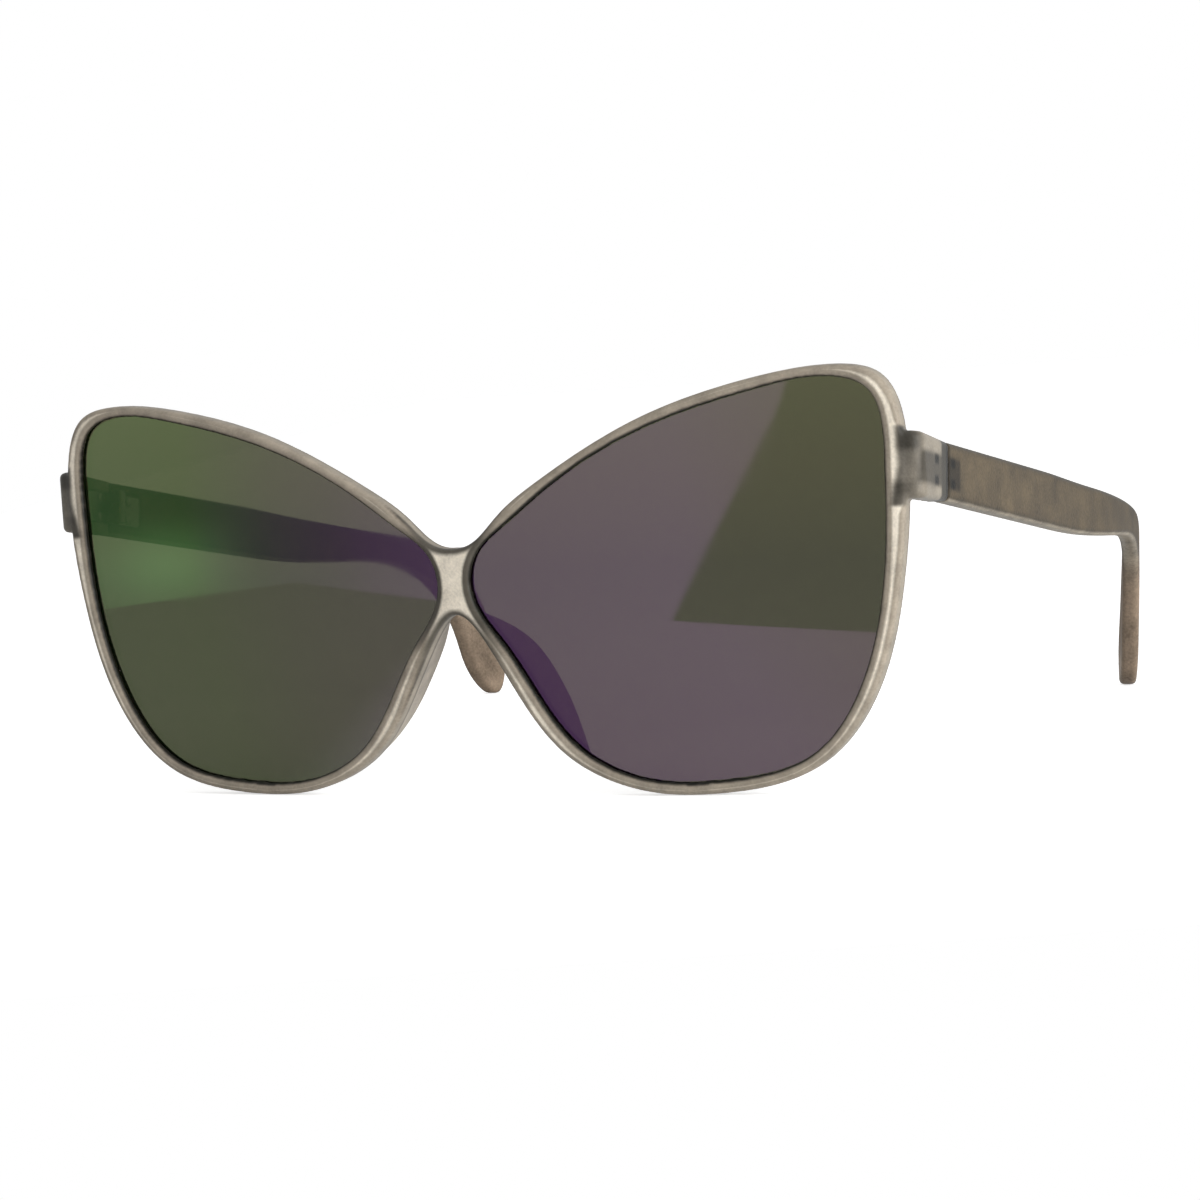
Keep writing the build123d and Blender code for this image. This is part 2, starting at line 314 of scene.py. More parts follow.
# %% Lamps
def soft_box(name, place, target, width, height, power):
    data = bpy.data.lights.new(name, "AREA")
    data.shape = "RECTANGLE"
    data.size = width
    data.size_y = height
    data.energy = power
    lamp = bpy.data.objects.new(name, data)
    bpy.context.scene.collection.objects.link(lamp)
    lamp.visible_glossy = False
    beam = Vector(target) - Vector(place)
    lamp.matrix_world = Matrix.Translation(place) @ beam.to_track_quat("-Z", "Y").to_matrix().to_4x4()


lamp_target = (0, 0, 0.03)
soft_box("top_box", (0.1, 0.1, 0.9), lamp_target, width=0.9, height=0.9, power=1.2)
soft_box("side_box", (0.95, -0.35, 0.22), lamp_target, width=0.5, height=0.6, power=12.0)

# %% [markdown]
# ## Front moulding
# The real front is one injection moulding. Its rims are soft round beads that hold the lenses in a
# groove, and they run into a waisted bridge, two nose pads and two end pieces. The packed solid
# has the right places, but its faces are flat and its edges tight. So a copy of it is covered
# with an even skin of small squares, which can then be relaxed.

# %% A copy of a solid with an even skin
skin_square = 0.0003
same_point = 1e-7


def settle(piece):
    """Turn what the piece's modifiers make into a plain mesh, and drop the modifiers."""
    graph = bpy.context.evaluated_depsgraph_get()
    graph.update()
    made = bpy.data.meshes.new_from_object(piece.evaluated_get(graph))
    piece.modifiers.clear()
    piece.data = made
    piece.data.shade_smooth()


def even_skin(node_name, piece_name):
    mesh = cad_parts[node_name].data.copy()
    shell = bmesh.new()
    shell.from_mesh(mesh)
    bmesh.ops.remove_doubles(shell, verts=shell.verts, dist=same_point)
    shell.to_mesh(mesh)
    shell.free()
    piece = bpy.data.objects.new(piece_name, mesh)
    bpy.context.scene.collection.objects.link(piece)
    skin = piece.modifiers.new("even_skin", "REMESH")
    skin.mode = "VOXEL"
    skin.voxel_size = skin_square
    settle(piece)
    return piece


def point_vectors(piece, what):
    """Places ("co") or normals ("normal") of all points of a piece, as rows of three."""
    flat = np.empty(len(piece.data.vertices) * 3)
    piece.data.vertices.foreach_get(what, flat)
    return flat.reshape(-1, 3)


front = even_skin("front_frame", "front_moulding")
print("front", len(front.data.vertices), "points")

# %% [markdown]
# The colours of a rim follow three distances, so each point of the skin is told them: how far it
# lies behind the front of the lens, from the lens opening and from the outer outline. The first
# one needs the shape of the lens, a shallow bowl, which is fitted to the points of the packed
# lens. Both halves of the front share what is found, because sideways places count from the
# middle.

# %% Depth behind the lens
half_lens = 0.00075


def bowl_terms(points):
    """What the depth of a shallow bowl is made of: 1, x, x squared, z and z squared."""
    x, z = np.abs(points[:, 0]), points[:, 2]
    return np.c_[np.ones(len(points)), x, x ** 2, z, z ** 2]


def lens_depth(points):
    """How far each point lies behind the front surface of the lenses."""
    solid = point_vectors(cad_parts["lens_left"], "co")
    bowl, *_ = np.linalg.lstsq(bowl_terms(solid), solid[:, 1], rcond=None)
    return points[:, 1] - bowl_terms(points) @ bowl + half_lens


skin_points = point_vectors(front, "co")
behind_lens = lens_depth(skin_points)
depths = behind_lens * mm_in_metre
print("behind the lens", depths.min().round(2), "to", depths.max().round(2), "mm")

# %% [markdown]
# The opening and the outline come from the skin too. Round a point near the middle of the lens,
# in narrow steps of angle, the nearest and the farthest points of the bead before the lens lie
# on them.

# %% Width of the rim
lens_low, lens_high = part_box("lens_left")
eye_outward = 0.003
eye_x = (lens_low[0] + lens_high[0]) / 2 + eye_outward
eye_z = (lens_low[2] + lens_high[2]) / 2
bead_front, bead_back = -0.0012, -0.0003
rim_steps = 720

side_x = np.abs(skin_points[:, 0])
turn = np.arctan2(skin_points[:, 2] - eye_z, side_x - eye_x)
reach = np.hypot(skin_points[:, 2] - eye_z, side_x - eye_x)
step = ((turn + math.pi) / (2 * math.pi) * rim_steps).astype(int) % rim_steps
on_bead = (behind_lens < bead_back) & (behind_lens > bead_front)
inner_reach = np.full(rim_steps, np.inf)
outer_reach = np.zeros(rim_steps)
np.minimum.at(inner_reach, step[on_bead], reach[on_bead])
np.maximum.at(outer_reach, step[on_bead], reach[on_bead])
rim_widths = (outer_reach - inner_reach) * mm_in_metre
print("rim width", np.percentile(rim_widths, [5, 25, 50, 75, 95]).round(2), "mm")

# %% [markdown]
# A running mean takes the steps of the skin out of both curves. At the bridge, steps of angle
# would cut the border at a slant, so there the outline is made of the highest and lowest points
# in narrow upright strips. Then each point of the skin looks for the nearest point of each curve.

# %% Distance to the opening and to the outline
bridge_reach = 0.009
strip = 0.0003
fine_strip = 0.0001


def steady(reaches, window=13):
    """A running mean round a closed curve."""
    turned = np.concatenate([reaches[-window:], reaches, reaches[:window]])
    return np.convolve(turned, np.ones(window) / window, "same")[window:-window]


def bridge_profile(edge, start):
    """The upper or lower edge of the bridge, as its highest or lowest point in each strip."""
    columns = np.arange(0.0, bridge_reach, strip)
    column = np.minimum((side_x[on_bead] / strip).astype(int), len(columns))
    heights = np.full(len(columns) + 1, start)
    edge.at(heights, column, skin_points[on_bead, 2])
    heights = np.convolve(np.pad(heights[:-1], 1, "edge"), np.ones(3) / 3, "valid")
    fine = np.arange(0.0, bridge_reach, fine_strip)
    return [(x, 0, z) for x, z in zip(fine, np.interp(fine, columns + strip / 2, heights))]


def round_lens(reaches):
    """The points of a curve round the lens, one for each step of angle."""
    angles = (np.arange(rim_steps) + 0.5) / rim_steps * 2 * math.pi - math.pi
    xs = eye_x + reaches * np.cos(angles)
    zs = eye_z + reaches * np.sin(angles)
    return [(x, 0, z) for x, z in zip(xs, zs)]


def tree_of(points):
    """The points in a form that quickly finds the nearest one to a place."""
    tree = kdtree.KDTree(len(points))
    for number, point in enumerate(points):
        tree.insert(point, number)
    tree.balance()
    return tree


def distances_to(curve):
    tree = tree_of(curve)
    return np.array([tree.find((x, 0, z))[2] for x, z in zip(side_x, skin_points[:, 2])])


opening = round_lens(steady(inner_reach))
outline = [point for point in round_lens(steady(outer_reach)) if point[0] > bridge_reach]
outline += bridge_profile(np.maximum, -np.inf) + bridge_profile(np.minimum, np.inf)
to_opening = distances_to(opening)
to_outline = distances_to(outline)
print("curves", len(opening), "and", len(outline), "points")

# %% [markdown]
# Relaxing pulls every point towards its neighbours, which rounds the tight edges into soft beads,
# as tumbling does to the real thing. Points behind the front of the lens are held nearly still,
# so that the groove and the thin lip behind the lens keep their shape.


# %% Relax the beads
def point_values(piece, name, values):
    layer = piece.data.attributes.new(name, "FLOAT", "POINT")
    layer.data.foreach_set("value", np.asarray(values, dtype=np.float32))


def relax(piece, shares, rounds):
    group = piece.vertex_groups.new(name="soft")
    levels = np.round(shares, 1)
    for level in np.unique(levels):
        members = np.flatnonzero(levels == level).tolist()
        group.add(members, float(level), "REPLACE")
    soft = piece.modifiers.new("relax", "SMOOTH")
    soft.factor = 0.5
    soft.iterations = rounds
    soft.vertex_group = "soft"
    settle(piece)
    piece.vertex_groups.clear()


soft_from, soft_over = 0.00005, 0.0004
least_softness = 0.05
front_rounds = 16
softness = np.clip((-behind_lens - soft_from) / soft_over, least_softness, 1.0)
relax(front, softness, front_rounds)
point_values(front, "to_opening", to_opening * mm_in_metre)
point_values(front, "to_outline", to_outline * mm_in_metre)
point_values(front, "behind_lens", depths)
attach(front, "front")
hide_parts("front_frame")
print("front box", [round(c * mm_in_metre, 2) for c in front.dimensions], "mm")

# %% [markdown]
# ## Temples
# Each temple is a flat arm with rounded edges that turns down behind the ear. It gets the same
# even skin, relaxed a little. Its points are told how far they are from the rounded edges,
# because the plastic looks darker there.

# %% Temples
edge_turn = 0.6
temple_rounds = 5


def distance_to_edge(arm):
    """Distance from each point of the skin to where the flat side starts to turn over."""
    on_edge = np.abs(point_vectors(arm, "normal")[:, 0]) < edge_turn
    points = point_vectors(arm, "co")
    tree = tree_of(points[on_edge])
    return np.array([tree.find(point)[2] for point in points])


temples = []
for side in ("left", "right"):
    arm = even_skin("temple_" + side, "arm_" + side)
    relax(arm, np.ones(len(arm.data.vertices)), temple_rounds)
    point_values(arm, "to_edge", distance_to_edge(arm) * mm_in_metre)
    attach(arm, "temple_" + side)
    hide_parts("temple_" + side)
    temples.append(arm)
print("temples", [len(arm.data.vertices) for arm in temples], "points")

# %% [markdown]
# ## Rivets
# Each hinge leaf is held in its plastic by two rivets with low domed heads. One Geometry Nodes
# tree makes them: a short line is given the radius of the rivet along its length, a circle is
# swept along it, and the result stands on two points. Every leaf gets the same tree with its
# own place, and the direction in which its rivets go into the plastic.

# %% Rivet tree
line_points = 49
ring_points = 28
least_dome = 0.05


def rivet_radius(work, given):
    """A quarter of an ellipse over the head's share of the length, then the plain shank."""
    along = work.node("GeometryNodeSplineParameter").outputs["Factor"]
    share = work.maths("MINIMUM", work.maths("DIVIDE", along, given["Head Share"]), 1.0)
    rest = work.minus(1.0, share)
    dome = work.maths("SQRT", work.minus(1.0, work.times(rest, rest)))
    head = work.times(work.maths("MAXIMUM", dome, least_dome), given["Head Radius"])
    chosen = work.node("ShaderNodeMix")
    work.join(work.maths("LESS_THAN", along, given["Head Share"]), chosen.inputs[0])
    work.join(given["Shank Radius"], chosen.inputs[2])
    work.join(head, chosen.inputs[3])
    return chosen.outputs[0]


def swept_rivet(work, given):
    line = work.node("GeometryNodeCurvePrimitiveLine")
    work.join(given["Shank"], line.inputs["End"])
    fine = work.node("GeometryNodeResampleCurve")
    fine.inputs["Count"].default_value = line_points
    work.join(line.outputs[0], fine.inputs["Curve"])
    thick = work.node("GeometryNodeSetCurveRadius")
    work.join(fine.outputs[0], thick.inputs["Curve"])
    work.join(rivet_radius(work, given), thick.inputs["Radius"])
    ring = work.node("GeometryNodeCurvePrimitiveCircle")
    ring.inputs["Resolution"].default_value = ring_points
    ring.inputs["Radius"].default_value = 1.0
    swept = work.node("GeometryNodeCurveToMesh")
    swept.inputs["Fill Caps"].default_value = True
    work.join(thick.outputs[0], swept.inputs["Curve"])
    work.join(ring.outputs[0], swept.inputs["Profile Curve"])
    work.join(work.node("GeometryNodeInputRadius").outputs[0], swept.inputs["Scale"])
    return swept.outputs[0]


def rivet_tree():
    tree = bpy.data.node_groups.new("domed_rivets", "GeometryNodeTree")
    sizes = {"First": "NodeSocketVector", "Step": "NodeSocketVector", "Shank": "NodeSocketVector",
             "Head Radius": "NodeSocketFloat", "Shank Radius": "NodeSocketFloat",
             "Head Share": "NodeSocketFloat", "Metal": "NodeSocketMaterial"}
    for name, kind in sizes.items():
        tree.interface.new_socket(name=name, in_out="INPUT", socket_type=kind)
    tree.interface.new_socket(name="Geometry", in_out="OUTPUT", socket_type="NodeSocketGeometry")
    work = Wiring(tree)
    given = work.node("NodeGroupInput").outputs
    rivet = swept_rivet(work, given)
    points = work.node("GeometryNodeMeshLine")
    points.inputs["Count"].default_value = 2
    work.join(given["First"], points.inputs["Start Location"])
    work.join(given["Step"], points.inputs["Offset"])
    placed = work.node("GeometryNodeInstanceOnPoints")
    work.join(points.outputs[0], placed.inputs["Points"])
    work.join(rivet, placed.inputs["Instance"])
    real = work.node("GeometryNodeRealizeInstances")
    work.join(placed.outputs[0], real.inputs[0])
    metal = work.node("GeometryNodeSetMaterial")
    work.join(real.outputs[0], metal.inputs["Geometry"])
    work.join(given["Metal"], metal.inputs["Material"])
    work.join(metal.outputs[0], work.node("NodeGroupOutput").inputs[0])
    return tree


rivets_tree = rivet_tree()
print("rivet tree", len(rivets_tree.nodes), "nodes")

# %% [markdown]
# ## Finishes
# Each finish is one material with one shader. What two finishes share is a group of nodes, built
# once and placed in each material with its own values.


# %% Words for finishes
def finish(name):
    material = bpy.data.materials.new(name)
    material.use_nodes = True
    return material, material.node_tree.nodes["Principled BSDF"]


def new_group(name, numbers_in, numbers_out):
    """A group of shader nodes with named inputs, each with a usual value, and named outputs."""
    group = bpy.data.node_groups.new(name, "ShaderNodeTree")
    for title, usual in numbers_in:
        socket = group.interface.new_socket(name=title, in_out="INPUT", socket_type="NodeSocketFloat")
        socket.default_value = usual
    for title in numbers_out:
        group.interface.new_socket(name=title, in_out="OUTPUT", socket_type="NodeSocketFloat")
    return group


def place_group(work, group, **values):
    """Put a group into a tree. A value called leaf_start goes into its input Leaf Start."""
    placed = work.node("ShaderNodeGroup", node_tree=group)
    for name, value in values.items():
        placed.inputs[name.replace("_", " ").title()].default_value = value
    return placed.outputs


print("materials so far", [m.name for m in bpy.data.materials])

# %% [markdown]
# The front and the temples are frosted plastic, a little see-through. Such plastic has a fine
# grain from its mould and faint clouds.


# %% Grain of moulded plastic
def grain_group():
    group = new_group(
        "moulded_grain",
        (("Grain Size", 0.00035), ("Cloud Size", 0.004), ("Unevenness", 0.2), ("Shine", 0.38)),
        ("Shade", "Roughness", "Height"))
    grain_share, cloud_share, cloud_roughness = 0.9, 1.6, 0.15
    work = Wiring(group)
    given = work.node("NodeGroupInput").outputs
    place = work.here()
    made = []
    for size, detail in (("Grain Size", 2.0), ("Cloud Size", 3.0)):
        noise = work.node("ShaderNodeTexNoise")
        noise.inputs["Detail"].default_value = detail
        work.join(place, noise.inputs["Vector"])
        work.join(work.maths("DIVIDE", 1.0, given[size]), noise.inputs["Scale"])
        made.append(work.minus(noise.outputs["Fac"], 0.5))
    grain, cloud = made
    both = work.plus(work.times(grain, grain_share), work.times(cloud, cloud_share))
    shade = work.plus(1.0, work.times(both, given["Unevenness"]))
    roughness = work.plus(given["Shine"], work.times(cloud, cloud_roughness))
    out = work.node("NodeGroupOutput")
    for value, socket in zip((shade, roughness, grain), out.inputs):
        work.join(value, socket)
    return group


moulded_grain = grain_group()
grain_depth = 0.00005


def add_grain(work, face, colour, **values):
    """Colour, roughness and bump of moulded plastic on one face."""
    grain = place_group(work, moulded_grain, **values)
    shaded = work.node("ShaderNodeVectorMath", operation="SCALE")
    work.join(colour, shaded.inputs[0])
    work.join(grain["Shade"], shaded.inputs["Scale"])
    work.join(shaded.outputs[0], face.inputs["Base Color"])
    work.join(grain["Roughness"], face.inputs["Roughness"])
    bump = work.node("ShaderNodeBump")
    bump.inputs["Distance"].default_value = grain_depth
    bump.inputs["Strength"].default_value = 1.0
    work.join(grain["Height"], bump.inputs["Height"])
    work.join(bump.outputs[0], face.inputs["Normal"])


print("grain", len(moulded_grain.nodes), "nodes")

# %% [markdown]
# The hinges lean back a little, so all places at a hinge are measured in a frame that leans with
# them. Both sides are alike, so sideways places count from the middle.

# %% Places at a hinge
hinge_lean = math.radians(9.0217)


def hinge_places(work):
    """Distance out from the middle, place back along the leaf and height, in the leaning frame."""
    leaning = work.node("ShaderNodeMapping")
    leaning.inputs["Rotation"].default_value = (hinge_lean, 0, 0)
    work.join(work.here(), leaning.inputs["Vector"])
    parts = work.parts(leaning.outputs[0])
    return work.maths("ABSOLUTE", parts["X"]), parts["Y"], parts["Z"]


print("hinges lean", round(math.degrees(hinge_lean), 2), "degrees")

# %% [markdown]
# In the picture the steel leaves and their rivets show through the outer side of the plastic, as
# soft dark shapes. The plastic here lets too little light through for that, so they are painted:
# one group of nodes says where a leaf and its two rivets show.

# %% Leaf and rivets behind the plastic
leaf_low, leaf_high = 0.0351, 0.0399
rivet_levels = (0.03595, 0.03905)
rivet_spacing = rivet_levels[1] - rivet_levels[0]
leaf_blur, rivet_blur = 0.0006, 0.0004
rivet_half_width, rivet_half_height = 0.0009, 0.0007
outer_side = (0.0738, 0.0748)


def soft_span(work, value, first, last, blur):
    """One between first and last, with a soft step at both ends."""
    return work.times(work.rise(work.minus(value, first), -blur, blur),
                      work.fall(work.minus(value, last), -blur, blur))


def leaf_group():
    group = new_group("leaf_behind_plastic",
                      (("Leaf Start", -0.064), ("Leaf End", -0.0566), ("Rivet Place", -0.0596)),
                      ("Leaf", "Rivets"))
    work = Wiring(group)
    given = work.node("NodeGroupInput").outputs
    out, back, up = hinge_places(work)
    on_outer_side = work.rise(out, *outer_side)
    leaf = work.times(soft_span(work, back, given["Leaf Start"], given["Leaf End"], leaf_blur),
                      soft_span(work, up, leaf_low, leaf_high, leaf_blur), on_outer_side)
    from_rivet = work.minus(back, given["Rivet Place"])
    beside = soft_span(work, from_rivet, -rivet_half_width, rivet_half_width, rivet_blur)
    levels = [soft_span(work, work.minus(up, level), -rivet_half_height, rivet_half_height, rivet_blur)
              for level in rivet_levels]
    rivets = work.times(beside, work.plus(*levels), on_outer_side)
    output = work.node("NodeGroupOutput")
    for value, socket in zip((leaf, rivets), output.inputs):
        work.join(value, socket)
    return group


leaf_behind_plastic = leaf_group()
leaf_strength = 0.85
rivet_black = (0.004, 0.004, 0.003)


def leaf_seen(work, colour, leaf_colour, **places):
    """The colour of the plastic with a leaf and its rivets painted into it."""
    marks = place_group(work, leaf_behind_plastic, **places)
    colour = work.mix(work.times(marks["Leaf"], leaf_strength), colour, leaf_colour)
    return work.mix(marks["Rivets"], colour, rivet_black)


print("leaf marks", len(leaf_behind_plastic.nodes), "nodes")

# %% [markdown]
# ## Plastic of the front
# In the picture the rims are bright cream in the middle of the bead, and darker along the lens
# and along the outline. So a ramp goes from dark to cream with the distance from the nearest
# edge. The bridge is bright with a broader dark border, and its face gets darker towards the
# rims. All this is painted, because the light that real frosted plastic scatters inside isn't
# worked out here. A soft step from one colour to the next has two numbers: where it starts and
# where it ends.

# %% Rims and bridge
edge_dark = (0.075, 0.066, 0.052)
body_taupe = (0.22, 0.185, 0.145)
bead_light = (0.36, 0.310, 0.245)
bead_cream = (0.86, 0.780, 0.650)
bridge_border = (0.090, 0.080, 0.063)
bridge_side = (0.26, 0.222, 0.170)
bead_reach = 2.0
outline_head_start = 0.45
bridge_to_rim = (0.008, 0.013)
face_to_rim = (0.0045, 0.0090)
face_cream_to_side = (0.0030, 0.0062)
face_in_from_outline = (0.40, 1.35)
face_in_from_opening = (0.95, 1.55)

front_frost, front_face = finish("frosted_front")
work = Wiring(front_frost.node_tree)
to_opening = work.read("to_opening")
to_outline = work.read("to_outline")
behind = work.read("behind_lens")
out, back, up = hinge_places(work)

at_bridge = work.fall(out, *bridge_to_rim)
head_start = work.times(work.minus(1.0, at_bridge), outline_head_start)
from_edge = work.maths("MINIMUM", to_opening, work.plus(to_outline, head_start))
rim_colour = work.ramp(work.maths("DIVIDE", from_edge, bead_reach), [
    (0.00, edge_dark), (0.05, edge_dark), (0.15, body_taupe),
    (0.28, bead_light), (0.55, bead_light), (0.74, bead_cream)])

bright_face = work.times(work.rise(to_outline, *face_in_from_outline),
                         work.rise(to_opening, *face_in_from_opening))
face_colour = work.mix(work.rise(out, *face_cream_to_side), bead_cream, bridge_side)
bridge_colour = work.mix(bright_face, bridge_border, face_colour)
colour = work.mix(work.fall(out, *face_to_rim), rim_colour, bridge_colour)
print("rims and bridge", len(work.tree.nodes), "nodes so far")

# %% [markdown]
# The outer walls of the rims are plain taupe and end in a dark edge at the back. The nose pads,
# which stand out behind the lenses, are pale.

# %% Walls and pads
wall_taupe = (0.31, 0.270, 0.212)
pad_cream = (0.52, 0.455, 0.375)
back_edge_strength = 0.8
wall_start = (-0.6, 0.1)
wall_off_opening = (0.5, 1.0)
back_edge_start, back_edge_end = (0.7, 1.5), (1.6, 2.2)
pad_start = (1.7, 2.6)
pad_outer_end = (0.030, 0.034)

on_wall = work.times(work.rise(behind, *wall_start), work.rise(to_opening, *wall_off_opening))
colour = work.mix(on_wall, colour, wall_taupe)
back_edge = work.times(work.rise(behind, *back_edge_start),
                       work.rise(behind, *back_edge_end, back_edge_strength, 0.0))
colour = work.mix(back_edge, colour, edge_dark)
on_pad = work.times(work.rise(behind, *pad_start), work.fall(out, *pad_outer_end))
colour = work.mix(on_pad, colour, pad_cream)
print("walls and pads", len(work.tree.nodes), "nodes so far")

# %% [markdown]
# The end pieces show the front leaf of the hinge, a brown patch at the rim, which is darkest above
# and below the hinge's middle, and a dark line at the back where the temple begins, which is painted
# shade in the gap between them. The end piece widens a little towards the bottom. Last come the
# walls by the lens, which are painted nearly black as shade in the groove that holds the lens,
# where one also looks along the edge of the tinted lens.

# %% End pieces
hinge_middle = 0.0375
end_taupe = (0.27, 0.238, 0.190)
patch_brown = (0.078, 0.072, 0.061)
patch_dark = (0.030, 0.027, 0.021)
leaf_olive = (0.035, 0.031, 0.023)
joint_gap_shade = (0.040, 0.037, 0.029)
# near black, for the painted shade in the lens groove and in the joint gap
shade_black = (0.010, 0.010, 0.008)
end_widening = 0.25
patch_strength, patch_dark_strength = 0.92, 0.9
end_piece_start = (0.0718, 0.0732)
end_piece_half_height = (0.0054, 0.0062)
patch_end = (-0.0746, -0.0719)
patch_off_middle = (0.0016, 0.0030)
front_leaf = {"leaf_start": -0.0730, "leaf_end": -0.0560, "rivet_place": -0.0668}
joint_start = (-0.0652, -0.0642)
joint_gap_start = (-0.0629, -0.0625)
lens_wall_reach = (0.04, 0.48)
lens_wall_depth = (1.5, 2.2)

beside_hinge = work.maths("ABSOLUTE", work.minus(up, hinge_middle))
below_hinge = work.maths("MAXIMUM", work.minus(hinge_middle, up), 0.0)
widened = work.plus(out, work.times(below_hinge, end_widening))
end_piece = work.times(work.rise(widened, *end_piece_start),
                       work.fall(beside_hinge, *end_piece_half_height))
end_colour = work.mix(end_piece, colour, end_taupe)
patch = work.times(end_piece, work.fall(back, *patch_end))
end_colour = work.mix(work.times(patch, patch_strength), end_colour, patch_brown)
dark_patch = work.times(patch, work.rise(beside_hinge, *patch_off_middle), patch_dark_strength)
end_colour = work.mix(dark_patch, end_colour, patch_dark)
with_leaf = leaf_seen(work, end_colour, leaf_olive, **front_leaf)
colour = work.mix(end_piece, end_colour, with_leaf)
end_side = work.times(end_piece, work.rise(out, *outer_side))
# painted shade in the gap where the temple begins: a dark band, then a near-black line at the very
# back
colour = work.mix(work.times(end_side, work.rise(back, *joint_start)), colour, joint_gap_shade)
colour = work.mix(work.times(end_side, work.rise(back, *joint_gap_start)), colour, shade_black)
# painted shade: the walls of the groove by the lens, nearly black
lens_groove_shade = work.times(work.fall(to_opening, *lens_wall_reach), work.fall(behind, *lens_wall_depth))
colour = work.mix(lens_groove_shade, colour, shade_black)
print("end pieces", len(work.tree.nodes), "nodes so far")

# %% [markdown]
# The colour then gets the grain. A small share of the light goes through the plastic, and its
# shine is weak, because a frosted skin scatters most of it.

# %% Frosted plastic of the front
plastic_ior = 1.49
add_grain(work, front_face, colour, grain_size=0.00040, cloud_size=0.0030, unevenness=0.55, shine=0.40)
front_face.inputs["Transmission Weight"].default_value = 0.2
front_face.inputs["Specular IOR Level"].default_value = 0.25
front_face.inputs["IOR"].default_value = plastic_ior
front.data.materials.clear()
front.data.materials.append(front_frost)
print("front plastic", len(work.tree.nodes), "nodes")

# %% [markdown]
# ## Plastic of the temples
# The temples are the same plastic, thicker and so browner. They get a little darker towards the
# back, up to the bend, and the part that turns down there is lighter. Their edges are rounded:
# the upper edge gets painted shade, and the lower one painted light, as from the white table. A
# thin dark border runs along the flat side just inside the edges. At the front end, where the
# temple meets the end piece, the plastic is painted near black as shade in the gap.

# %% Frosted plastic of the temples
arm_brown, arm_brown_back = (0.080, 0.061, 0.037), (0.060, 0.046, 0.028)
arm_edge = (0.085, 0.070, 0.052)
arm_border = (0.036, 0.029, 0.019)
arm_joint_shade = (0.012, 0.012, 0.010)
arm_top_shade = (0.045, 0.038, 0.027)
arm_underside_light = (0.30, 0.26, 0.20)
arm_tip = (0.225, 0.170, 0.122)
arm_leaf = (0.016, 0.013, 0.009)
border_strength, underside_strength = 0.75, 0.75
flat_side_turn = (0.55, 0.98)
top_turn = (0.25, 0.7)
underside_turn = (-0.75, -0.25)
browner_back = (-0.03, 0.045)
border_start, border_end = (0.0, 0.25), (0.35, 1.3)
arm_joint_place = (-0.0617, -0.0612)
bend_start = (0.047, 0.058)
temple_leaf = {"leaf_start": -0.0640, "leaf_end": -0.0566, "rivet_place": -0.0596}

arm_frost, arm_face = finish("frosted_temple")
work = Wiring(arm_frost.node_tree)
_, back, _ = hinge_places(work)
facing = work.parts(work.here("Normal"))
flat_side = work.rise(work.maths("ABSOLUTE", facing["X"]), *flat_side_turn)
inward = work.read("to_edge")
flat_colour = work.mix(work.rise(back, *browner_back), arm_brown, arm_brown_back)
colour = work.mix(flat_side, arm_edge, flat_colour)
border = work.times(work.rise(inward, *border_start), work.fall(inward, *border_end), border_strength)
colour = work.mix(border, colour, arm_border)
# painted shade in the gap at the temple's front end
colour = work.mix(work.fall(back, *arm_joint_place), colour, arm_joint_shade)
# painted shade on the upper edge, and painted light from the table on the lower one
colour = work.mix(work.rise(facing["Z"], *top_turn), colour, arm_top_shade)
underside = work.times(work.fall(facing["Z"], *underside_turn), underside_strength)
colour = work.mix(underside, colour, arm_underside_light)
colour = work.mix(work.rise(back, *bend_start), colour, arm_tip)
colour = leaf_seen(work, colour, arm_leaf, **temple_leaf)
add_grain(work, arm_face, colour, grain_size=0.00045, cloud_size=0.0050, unevenness=0.95, shine=0.42)
arm_face.inputs["Transmission Weight"].default_value = 0.08
arm_face.inputs["Specular IOR Level"].default_value = 0.10
arm_face.inputs["IOR"].default_value = plastic_ior
for arm in temples:
    arm.data.materials.clear()
    arm.data.materials.append(arm_frost)
print("temple plastic", len(work.tree.nodes), "nodes")

# %% [markdown]
# ## Lenses
# The lenses are dark olive through and through, a little lighter at the top. Their front has a
# mirror coat: rose grey when seen straight on, purple from the side and green from far off to
# the side. The coat's colour comes from the angle of view, as on real coated glass. Faint
# smudges make its mirror a little uneven.

# %% Lens
lens_top = 0.064
smudge_start = (0.3, 0.75)
smudge_roughness = (0.012, 0.045)
body_stops = [
    (0.00, (0.058, 0.056, 0.038)), (0.55, (0.058, 0.059, 0.038)),
    (0.78, (0.077, 0.077, 0.044)), (1.00, (0.091, 0.094, 0.050))]
coat_stops = [
    (0.036, (0.68, 0.40, 0.68)), (0.060, (0.73, 0.38, 0.87)), (0.106, (0.62, 0.29, 0.78)),
    (0.145, (0.62, 0.36, 0.76)), (0.175, (0.46, 0.47, 0.52)), (0.210, (0.30, 0.85, 0.22)),
    (0.250, (0.33, 0.95, 0.25)), (0.450, (0.40, 0.55, 0.33))]

